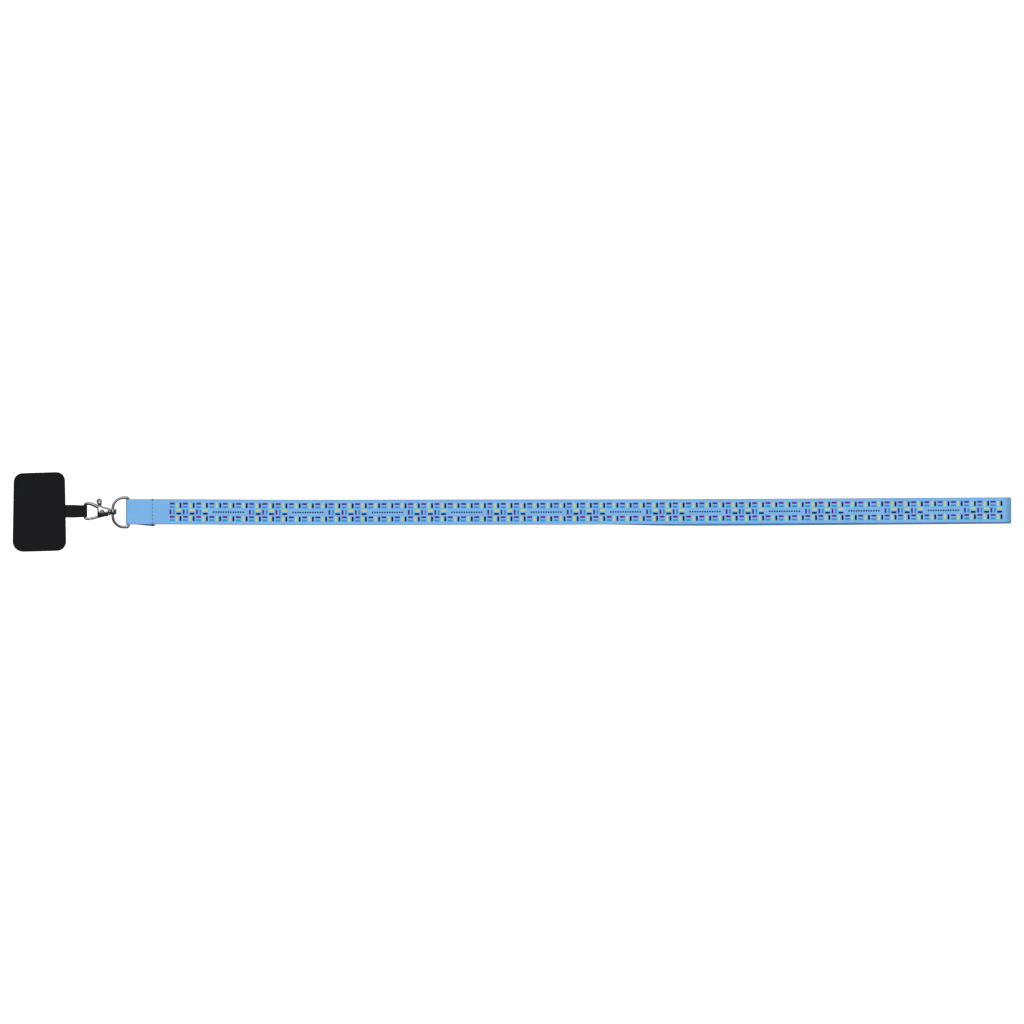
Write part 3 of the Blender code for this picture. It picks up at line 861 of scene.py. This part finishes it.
def build_ring():
    low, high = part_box("d_ring")
    half_height = (high.y - low.y) / 2 - WIRE_RADIUS
    rise = RING_APEX.z - RING_BAR.z
    depth = math.hypot(RING_BAR.x - RING_APEX.x, rise)
    corners = (
        (0, -half_height, 1.6 * MM),
        (0, half_height, 1.6 * MM),
        (-depth, half_height, 8.5 * MM),
        (-depth, -half_height, 8.5 * MM),
    )
    path = rounded_path(corners, closed=True, steps=26)
    wire = (WIRE_RADIUS, WIRE_RADIUS)
    mesh = sweep("ring_wire", path, lambda share: wire, 0, closed=True, power=2, sides=32)
    mesh.transform(Matrix.Translation(RING_BAR) @ Matrix.Rotation(math.asin(rise / depth), 4, "Y"))
    ring = add("ring_wire", mesh, PLATE)
    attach(ring, "ring")
    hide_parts("d_ring")


NECK_END_X = RING_APEX.x - 3.2 * MM
NECK_WALL = 2.1 * MM
HEAD_X = NECK_END_X - NECK_WALL - 0.3 * MM


def build_eye():
    eye_radius, hole_radius, half_width = 2.9 * MM, 1.5 * MM, 2.15 * MM
    wall = (eye_radius - hole_radius) / 2
    section = superellipse(wall, half_width, 2.8, 28)
    rings = []
    steps = 72
    for i in range(steps):
        angle = 2 * math.pi * i / steps
        out = Vector((math.cos(angle), 0, math.sin(angle)))
        rings.append([RING_APEX + out * (hole_radius + wall + u) + Vector((0, v, 0)) for u, v in section])
    eye = rings_mesh("eye", rings, closed=True)
    root = RING_APEX + Vector((-eye_radius + wall, 0, 0))
    length = root.x - HEAD_X
    post = turned("post", [(0, 0.9 * MM), (length, 0.9 * MM)], root, (-1, 0, 0))
    shoulder = in_mm((-0.55, 1.6), (-0.40, 2.45), (-0.20, 2.75), (0.60, 2.80), (0.86, 2.50))
    collar = turned("collar", shoulder, root, (-1, 0, 0))
    head = in_mm((-0.05, 1.5), (0.12, 1.62), (0.4, 1.5), (0.6, 1.0))
    peened = turned("head", head, (HEAD_X, RING_APEX.y, RING_APEX.z), (-1, 0, 0))
    mesh = cast("swivel", eye, added=[collar, post, peened], voxel=0.09 * MM)
    piece = add("swivel_casting", mesh, PLATE)
    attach(piece, "eye")
    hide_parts("swivel_eye")


def body_rings(sections, steps, sides, wall):
    """Sections of (x, middle y, half height, half thickness): plumb sides of that wall under a low dome."""
    first, last = sections[0][0], sections[-1][0]
    rings = []
    for k in range(steps + 1):
        x = first + (last - first) * k / steps
        y, half, half_z = blend_stops(sections, x)
        dome = superellipse(half, half_z - wall, 2.15, sides)
        rings.append([(x, y + u, PIVOT.z + v + math.copysign(wall, v)) for u, v in dome])
    return rings


def build_hook():
    """The body with its claw, slotted for the gate and bored for the swivel post and the pin."""
    bottom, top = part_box("hook_body")
    half_z = (top.z - bottom.z) / 2 / MM
    sections = in_mm(
        (-318.9, 0.40, 4.1, 2.1),
        (-318.5, 0.40, 4.7, 2.45),
        (-316.4, 0.38, 4.65, half_z),
        (-314.0, 0.22, 3.85, half_z),
        (-311.8, 0.08, 3.35, half_z),
        (-310.6, 0.05, 3.20, 2.5),
        (NECK_END_X / MM, 0.05, 2.90, 2.3),
    )
    body = rings_mesh("body", body_rings(sections, 44, 64, 1.45 * MM))
    corners = (
        (-315.8 * MM, 2.6 * MM, 0),
        (-324.2 * MM, 6.75 * MM, 10 * MM),
        (CLAW_BAR.x, 6.3 * MM, 1.3 * MM),
        (CLAW_BAR.x, -5.3 * MM, 1.3 * MM),
        (-324.72 * MM, -5.3 * MM, 0),
    )
    stops = (
        (0.0, 1.45 * MM, 2.3 * MM),
        (0.15, 1.40 * MM, 2.0 * MM),
        (0.45, 1.12 * MM, 1.35 * MM),
        (0.55, CLAW_BAR_RADIUS, CLAW_BAR_RADIUS),
        (0.9, CLAW_BAR_RADIUS, CLAW_BAR_RADIUS),
        (1.0, 1.05 * MM, 1.10 * MM),
    )
    path = relaxed(even_points(rounded_path(corners), 0.3 * MM), 4)
    claw = sweep(
        "claw", path, lambda share: blend_stops(stops, share), CLAW_BAR.z, power=2.05, end_lean=-0.6
    )
    slot_x = NECK_END_X - NECK_WALL
    side = 8 * MM  # well outside the body
    outline = (
        (-320.0 * MM, -side),
        (slot_x, -side),
        (slot_x, side),
        (-317.9 * MM, side),
        (-317.9 * MM, 2.9 * MM),
        (-320.0 * MM, 2.9 * MM),
    )
    slot = rings_mesh("slot", [[(x, y, PIVOT.z + z) for x, y in outline] for z in (-1.4 * MM, 1.4 * MM)])
    axis_point = (slot_x + 0.05 * MM, RING_APEX.y, RING_APEX.z)
    room = turned("room", [(0, 1.95 * MM), (1.3 * MM, 1.95 * MM)], axis_point, (-1, 0, 0))
    bore_start = (NECK_END_X + MM, RING_APEX.y, RING_APEX.z)
    bore = turned("bore", [(0, 1.15 * MM), (NECK_WALL + 2 * MM, 1.15 * MM)], bore_start, (-1, 0, 0))
    hole = upright("hole", 1.22 * MM, -5 * MM, 5 * MM)
    mesh = cast("hook", body, added=[claw], cut=[slot, room, bore, hole])
    piece = add("hook_casting", mesh, PLATE)
    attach(piece, "hook")
    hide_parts("hook_body")


def build_gate():
    """The hub on the pin, the bar that closes the claw and the thumb lever."""
    half = 1.1 * MM
    hub = upright("hub", 1.7 * MM, -half, half)
    corners = ((PIVOT.x, PIVOT.y, 0), (-317.2 * MM, -3.45 * MM, 1.6 * MM), (-324.42 * MM, -5.28 * MM, 0))
    path = even_points(rounded_path(corners), 0.3 * MM)
    bar = sweep("bar", path, lambda share: (1.0 * MM, half - 0.02 * MM), PIVOT.z, end_lean=-0.6, power=2.1)
    # the thumb lever from the pin outwards: (x, y, half width, half height) at each share of its length
    shares = (0.0, 0.37, 0.50, 0.61, 0.73, 0.84, 0.93, 0.98, 1.0)
    forms = in_mm(
        (-315.25, 0.60, 1.00, 1.05),
        (-316.40, 4.20, 0.85, 1.05),
        (-316.85, 5.60, 1.30, 1.55),
        (-317.20, 6.70, 1.88, 1.85),
        (-317.42, 7.90, 2.10, 1.62),
        (-317.52, 8.95, 2.06, 1.32),
        (-317.57, 9.75, 1.68, 1.02),
        (-317.60, 10.17, 1.05, 0.70),
        (-317.60, 10.36, 0.35, 0.35),
    )
    stops = [(share, *form) for share, form in zip(shares, forms)]
    steps = 60
    line = [Vector(blend_stops(stops, k / steps)[:2]) for k in range(steps + 1)]
    lever = sweep("lever", line, lambda share: blend_stops(stops, share)[2:], PIVOT.z, power=2.7)
    recess = upright("recess", 2.3 * MM, 0.1 * MM, 3.1 * MM)
    bore = upright("pin_bore", 0.92 * MM, -4 * MM, 4 * MM)
    mesh = cast("gate", hub, added=[bar, lever], cut=[recess, bore], voxel=0.10 * MM)
    piece = add("gate_casting", mesh, PLATE)
    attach(piece, "gate")
    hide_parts("gate_lever")


def build_pin():
    """A hollow rivet: a rolled rim round a deep hole at each end."""
    low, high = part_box("gate_pin")
    end = (high.z - low.z) / 2
    shank = (high.x - low.x) / 2
    # (radius, height over the pin's end) from the hole's floor outwards
    rim = in_mm((0.20, -1.30), (0.60, -1.26), (0.92, -1.10), (0.98, -0.30), (1.04, 0.02), (1.16, 0.14))
    rim += in_mm((1.32, 0.14), (1.48, 0.04), (1.56, -0.12), (1.52, -0.30), (1.25, -0.36))
    upper = [(end + dz, radius) for radius, dz in rim] + [(end - 1.45 * MM, shank)]
    lower = [(-place, radius) for place, radius in upper]
    mesh = turned("pin", lower + upper[::-1], PIVOT, (0, 0, 1), sides=56)
    piece = add("gate_rivet", mesh, PLATE, 60)
    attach(piece, "hook")
    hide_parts("gate_pin")


def build_spring():
    """A torsion spring round the pin: one and a half turns, with a leg at each end to the gate bar."""
    radius, coil_radius = 0.18 * MM, 1.45 * MM
    turns, start, rise = 1.5, 0.45 * MM, 0.6 * MM
    steps = 90
    coil = []
    for i in range(steps + 1):
        angle = 2 * math.pi * turns * i / steps
        arm = Vector((math.cos(angle), math.sin(angle), 0)) * coil_radius
        coil.append(PIVOT + arm + Vector((0, 0, start + rise * i / steps)))
    leg = Vector((0, -1, 0))
    route = [coil[0] + leg * 2.4 * MM, *coil, coil[-1] + leg * 1.1 * MM]
    rings = []
    for i, point in enumerate(route):
        along = (route[min(i + 1, len(route) - 1)] - route[max(i - 1, 0)]).normalized()
        side = along.cross(Vector((0, 0, 1))).normalized()
        up = side.cross(along)
        rings.append([point + side * u + up * v for u, v in superellipse(radius, radius, 2, 14)])
    piece = add("spring_wire", rings_mesh("spring_wire", rings), STEEL_WIRE, 60)
    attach(piece, "hook")
    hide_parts("gate_spring")


# The tether


def tether_line():
    """Out of the patch, up over the claw's bar and back: points of (x, z)."""
    loop_radius = CLAW_BAR_RADIUS + LOOP_GAP + TETHER_THICKNESS / 2
    bar, flex = Vector((CLAW_BAR.x, CLAW_BAR.z)), Vector((FLEX.x, FLEX.z))
    slope = math.degrees(math.atan2(bar.y - flex.y, bar.x - flex.x))
    across = Vector((-math.sin(math.radians(slope)), math.cos(math.radians(slope))))
    half = TETHER_THICKNESS / 2 + 0.05 * MM  # from the middle of the pair of legs to a leg's middle
    joint = flex + (bar - flex) * 0.74
    tail_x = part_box("tether_tail")[0].x
    tail_half, lead = half * 0.8, 1.5 * MM
    upper_leg = [Vector((tail_x, flex.y + tail_half)), flex + Vector((-lead, half)), flex + across * half]
    lower_leg = [flex - across * half, flex + Vector((-lead, -half)), Vector((tail_x, flex.y - tail_half))]
    loop = arc(bar, loop_radius, 115 + slope, -115 + slope, 40)
    path = upper_leg + [joint + across * half] + loop + [joint - across * half] + lower_leg
    return relaxed(even_points(path, 0.2 * MM), 12)


def webbing_section(x, along):
    """Across the webbing: warp cords side by side, each bobbing over and under the weft ribs."""
    near_bar = smooth_step(CLAW_BAR.x - 9 * MM, CLAW_BAR.x - 2 * MM, x)
    half = (TETHER_NEAR_WIDTH + (TETHER_LOOP_WIDTH - TETHER_NEAR_WIDTH) * near_bar) / 2
    edge = TETHER_THICKNESS / 2
    half_height = edge - 0.03 * MM
    flat = half - edge
    columns = 44
    points = []
    for side in (1, -1):
        order = range(columns + 1) if side > 0 else range(columns, -1, -1)
        for k in order:
            u = flat * (-1 + 2 * k / columns)
            cord = math.floor(u / CORD_PITCH)
            groove = abs(math.cos(math.pi * u / CORD_PITCH))
            bob = math.cos(2 * math.pi * along / RIB_PITCH + math.pi * (cord % 2))
            relief = 0.05 * MM * bob - 0.05 * MM * groove**6
            points.append((u, side * half_height + relief))
        for k in range(1, 6):
            angle = math.pi * k / 6
            points.append((side * (flat + edge * math.sin(angle)), side * half_height * math.cos(angle)))
    return points


def build_tether():
    path = [Vector((point.x, CLAW_BAR.y, point.y)) for point in tether_line()]
    mesh, length = strip_mesh("tether_webbing", path, webbing_section)
    piece = add("tether_webbing", mesh, WEBBING)
    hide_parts("tether_strap", "tether_tail")
    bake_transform(piece)
    return piece, length


# The patch


def patch_outline():
    """The patch's outline, read from its CAD sheet's upper rim and rounded off, anticlockwise."""
    node = frame["nodes"]["pad_front"]
    rim = {(round(v.co.x, 7), round(v.co.y, 7)) for v in node.data.vertices if v.co.z > PAD_TOP - 0.01 * MM}
    centre = Vector((sum(p[0] for p in rim), sum(p[1] for p in rim))) / len(rim)
    points = sorted(map(Vector, rim), key=lambda p: math.atan2(p.y - centre.y, p.x - centre.x))
    return relaxed(even_points(points, 0.8 * MM, closed=True), 3, closed=True), centre


def inset(outline, distance):
    """The outline moved inwards by a distance; it runs anticlockwise, so the left normal points in."""
    return [point + normal * distance for point, normal in zip(outline, path_normals(outline, closed=True))]


def bulge_over_tail(point):
    """How far the sheets rise over the webbing's sewn-in end."""
    low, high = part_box("tether_tail")
    half_width = (high.y - low.y) / 2
    soft = 1.6 * MM
    along = smooth_step(low.x - soft, low.x + soft, point.x)
    across = 1 - smooth_step(half_width - soft / 2, half_width + soft, abs(point.y - CLAW_BAR.y))
    return 0.22 * MM * along * across


def build_patch_sheet(name, node, side):
    """One sheet: a rolled rim, a pressed line inside it, and a faintly crowned face."""
    outline, centre = patch_outline()
    thickness = PAD_TOP - PAD_MIDDLE_Z
    parting = 0.02 * MM
    # (inset, height over the parting plane) up the edge and onto the face
    profile = [(0.05 * MM, parting), (0.0, 0.14 * MM)]
    roll_in, roll_down = 0.80 * MM, 0.52 * MM
    shoulder = thickness - 0.06 * MM
    for k in range(9):
        angle = math.pi / 2 * k / 8
        profile.append((roll_in * (1 - math.cos(angle)), shoulder - roll_down * (1 - math.sin(angle))))
    profile += [
        (1.10 * MM, shoulder),
        (1.30 * MM, shoulder - 0.07 * MM),
        (1.50 * MM, shoulder - 0.07 * MM),
        (1.85 * MM, shoulder + 0.04 * MM),
        (2.40 * MM, thickness),
    ]
    rings = [[(p, height) for p in inset(outline, distance)] for distance, height in profile]
    face_edge = inset(outline, profile[-1][0])
    steps = 16
    for k in range(1, steps):
        share = k / steps
        crown = 0.06 * MM * math.sin(share * math.pi / 2)
        rings.append([(p.lerp(centre, share), thickness + crown) for p in face_edge])
    rings.insert(0, [(p, parting) for p in inset(outline, 0.6 * MM)])

    def placed(p, height):
        lift = bulge_over_tail(p) * smooth_step(0.5 * MM, thickness, height)
        return p.x, p.y, PAD_MIDDLE_Z + side * (height + lift)

    solid = [[placed(p, height) for p, height in ring] for ring in rings]
    # each ring's inset from the rim, which the sheet's material reads for its painted rim shade
    insets = [0.0] + [distance for distance, height in profile] + [profile[-1][0]] * (steps - 1)
    weave = [(distance, 0.0, 0.0) for distance in insets for _ in outline]
    piece = add(name, rings_mesh(name, solid, weave=weave), SHEET, 60)
    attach(piece, "patch")
    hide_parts(node)


# Stage


def build_floor():
    """A plain white floor, far enough down that nothing goes through it when a joint swings.

    The pieces don't mirror it or take light from it, so their edges stay dark.
    """
    mesh = bpy.data.meshes.new("floor")
    signs = ((-1, -1), (1, -1), (1, 1), (-1, 1))
    corners = [(a * FLOOR_REACH, b * FLOOR_REACH, -FLOOR_DEPTH) for a, b in signs]
    mesh.from_pydata(corners, [], [(0, 1, 2, 3)])
    floor = Shader("floor", (0.45, 0.45, 0.45), 0.95, specular=0.0)
    grain = floor.noise(floor.place(), 0.03)
    floor.feed("Base Color", floor.mix(grain, (0.44, 0.44, 0.44), (0.46, 0.46, 0.46)))
    floor.set("Emission Color", (1.0, 1.0, 1.0, 1.0))
    floor.set("Emission Strength", 0.68)
    piece = add("floor", mesh, floor.material)
    piece.visible_glossy = False
    piece.visible_diffuse = False


class Sky:
    """The studio seen from inside, made of sums over the direction that a ray leaves in."""

    def __init__(self):
        self.world = bpy.data.worlds.new("studio")
        bpy.context.scene.world = self.world
        self.world.use_nodes = True
        self.tree = self.world.node_tree
        self.tree.nodes.clear()
        towards = self.tree.nodes.new("ShaderNodeSeparateXYZ")
        direction = self.tree.nodes.new("ShaderNodeTexCoord").outputs["Generated"]
        self.tree.links.new(direction, towards.inputs[0])
        self.x, self.y, self.z = towards.outputs

    def maths(self, operation, *values):
        made = self.tree.nodes.new("ShaderNodeMath")
        made.operation = operation
        for socket, value in zip(made.inputs, values):
            connect(self.tree, socket, value)
        return made.outputs[0]

    def rise(self, value, low, high):
        """0 below low and 1 above high, with a soft step between them."""
        made = self.tree.nodes.new("ShaderNodeMapRange")
        made.interpolation_type = "SMOOTHSTEP"
        self.tree.links.new(value, made.inputs["Value"])
        made.inputs["From Min"].default_value = low
        made.inputs["From Max"].default_value = high
        return made.outputs["Result"]

    def fall(self, value, low, high):
        return self.maths("SUBTRACT", 1.0, self.rise(value, low, high))

    def light(self, strength):
        made = self.tree.nodes.new("ShaderNodeBackground")
        made.inputs["Color"].default_value = (1.0, 1.0, 1.0, 1.0)
        connect(self.tree, made.inputs["Strength"], strength)
        return made.outputs[0]

    def choose(self, ray, otherwise, light):
        """One light for rays of a kind (camera rays, mirrored rays), another for the rest."""
        made = self.tree.nodes.new("ShaderNodeMixShader")
        self.tree.links.new(self.tree.nodes.new("ShaderNodeLightPath").outputs[ray], made.inputs["Fac"])
        self.tree.links.new(otherwise, made.inputs[1])
        self.tree.links.new(light, made.inputs[2])
        return made.outputs[0]


def build_light():
    """Soft light from overhead, a lamp from the +Y side, and a studio that only the mirrored rays see."""
    sky = Sky()
    # a soft box overhead that starts at the middle and reaches over the +Y side
    box = sky.maths("MULTIPLY", sky.rise(sky.y, -0.05, 0.03), sky.fall(sky.y, 0.34, 0.54))
    box = sky.maths("MULTIPLY", box, sky.fall(sky.maths("ABSOLUTE", sky.x), 0.08, 0.26))
    box = sky.maths("MULTIPLY", box, sky.rise(sky.z, 0.0, 0.15))
    # pale cards low down all round, and a dim wall on the +Y side
    cards = sky.maths("MULTIPLY", sky.rise(sky.z, 0.04, 0.12), sky.fall(sky.z, 0.30, 0.44))
    wall = sky.rise(sky.y, 0.0, 0.45)
    studio = 0.018
    for part, strength in ((box, 1.25), (cards, 0.085), (wall, 0.24)):
        studio = sky.maths("ADD", studio, sky.maths("MULTIPLY", part, strength))
    overhead = sky.maths("MULTIPLY_ADD", sky.maths("MAXIMUM", sky.z, 0.0), 0.88, 0.05)
    light = sky.choose("Is Glossy Ray", sky.light(overhead), sky.light(studio))
    light = sky.choose("Is Camera Ray", light, sky.light(1.0))
    output = sky.tree.nodes.new("ShaderNodeOutputWorld")
    sky.tree.links.new(light, output.inputs["Surface"])

    lamp = bpy.data.lights.new("key", "SUN")
    lamp.energy = 2.1
    lamp.angle = math.radians(30)
    key = bpy.data.objects.new("key", lamp)
    key.rotation_euler = Vector((0.0, -0.72, -1.0)).to_track_quat("-Z", "Y").to_euler()
    key.visible_glossy = False
    bpy.context.scene.collection.objects.link(key)


def build_camera():
    """Straight down, without perspective."""
    lens = bpy.data.cameras.new("camera")
    lens.type = "ORTHO"
    lens.ortho_scale = PICTURE_WIDTH
    camera = bpy.data.objects.new("camera", lens)
    camera.location = (0, 0, 1.0)
    bpy.context.scene.collection.objects.link(camera)
    bpy.context.scene.camera = camera


build_camera()
build_floor()
build_light()
bpy.context.scene.view_settings.view_transform = "Standard"

ribbon, ribbon_length = build_ribbon()
prints = build_print()
stitches = build_seam()
build_ring()
build_eye()
build_hook()
build_gate()
build_pin()
build_spring()
tether, tether_length = build_tether()
build_patch_sheet("patch_back_sheet", "pad_back", -1)
build_patch_sheet("patch_front_sheet", "pad_front", 1)
